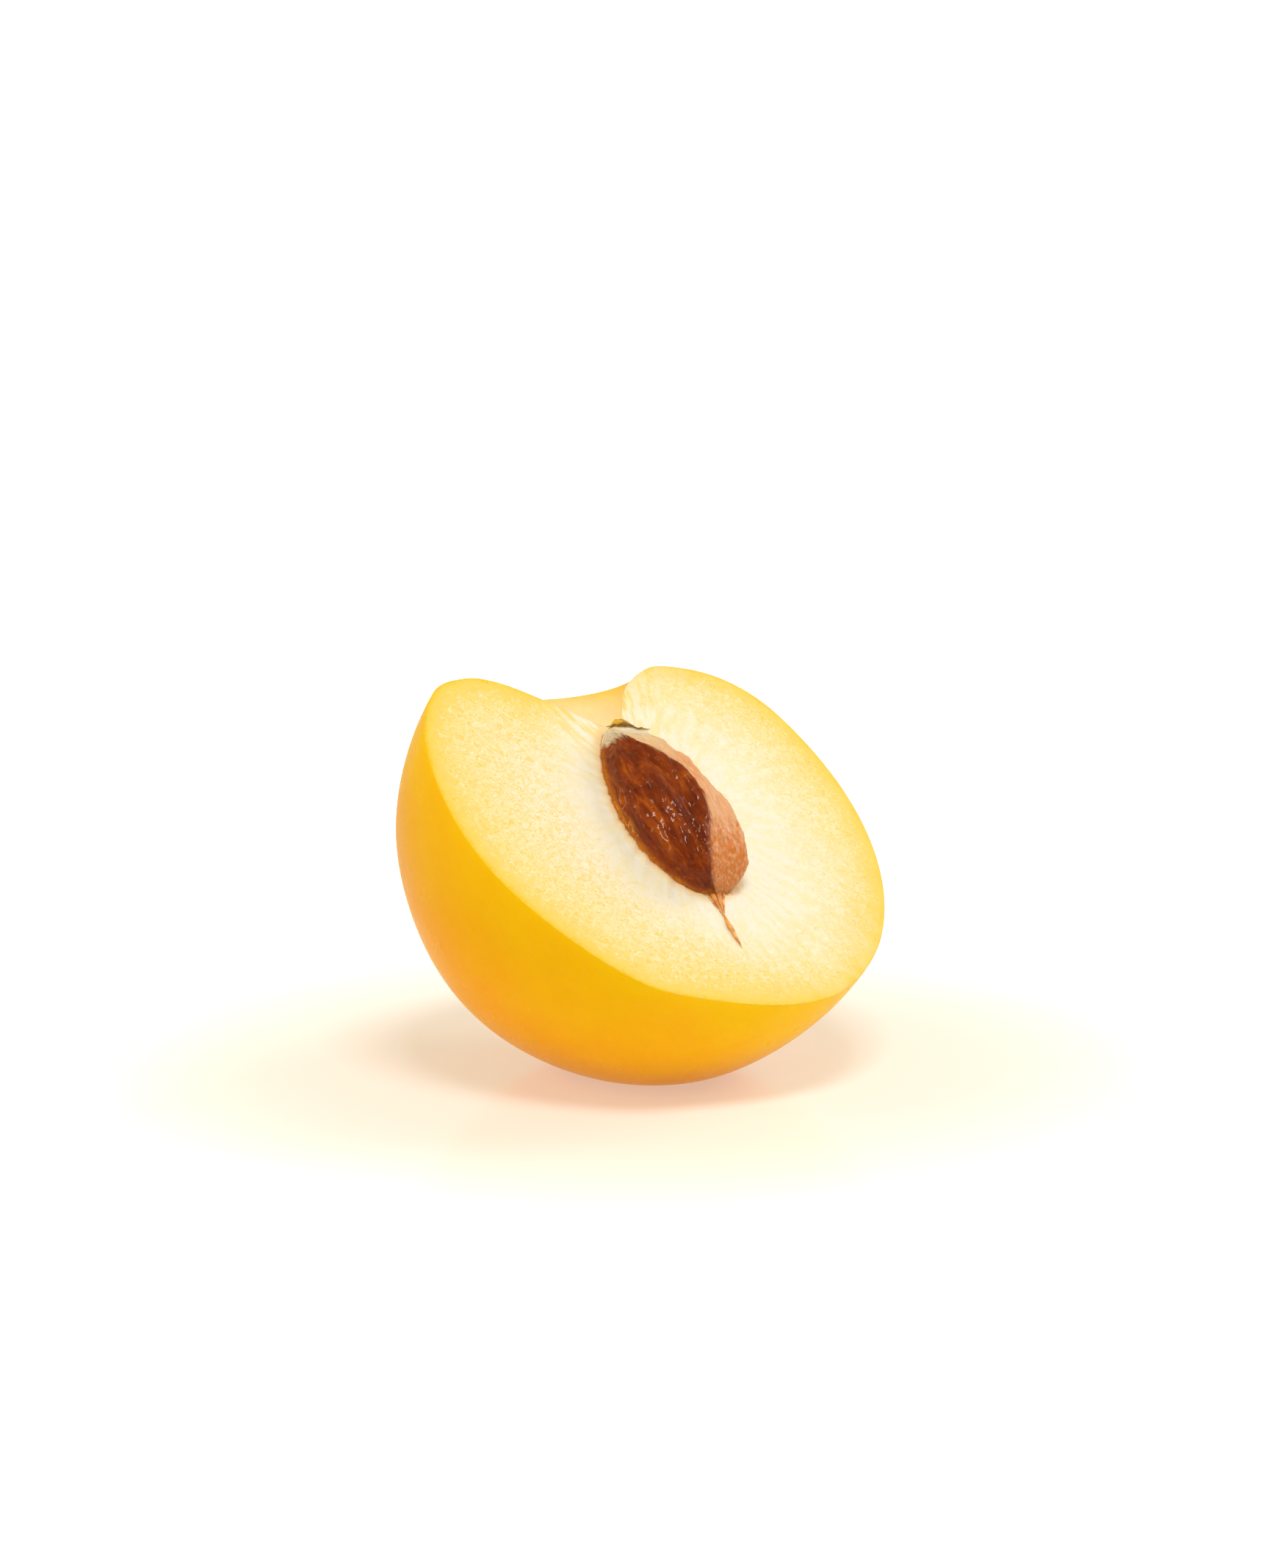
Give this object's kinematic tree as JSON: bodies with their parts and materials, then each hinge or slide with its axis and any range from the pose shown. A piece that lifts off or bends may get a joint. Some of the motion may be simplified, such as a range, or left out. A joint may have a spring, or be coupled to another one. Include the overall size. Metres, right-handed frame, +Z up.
{
  "type": "plum half",
  "caption": "Ripe yellow plum cut lengthways, lying on its round cheek with the cut face leaning forwards and the stone still in the flesh.",
  "frame": {"origin": "on the table under the middle of the half fruit's outline", "axes": "+Z up, +Y away from the viewer, +X to the viewer's right; the cut face leans up towards the viewer's right"},
  "size_m": [0.054, 0.0544, 0.0434],
  "materials": {
    "flesh_and_skin": "smooth waxy golden skin, wet pale yellow flesh on the cut",
    "stone": "rough fibrous reddish brown stone, wet with juice"
  },
  "bodies": {
    "root": {"flesh_and_skin": "flesh_and_skin", "stone": "stone"}
  },
  "joints": []
}
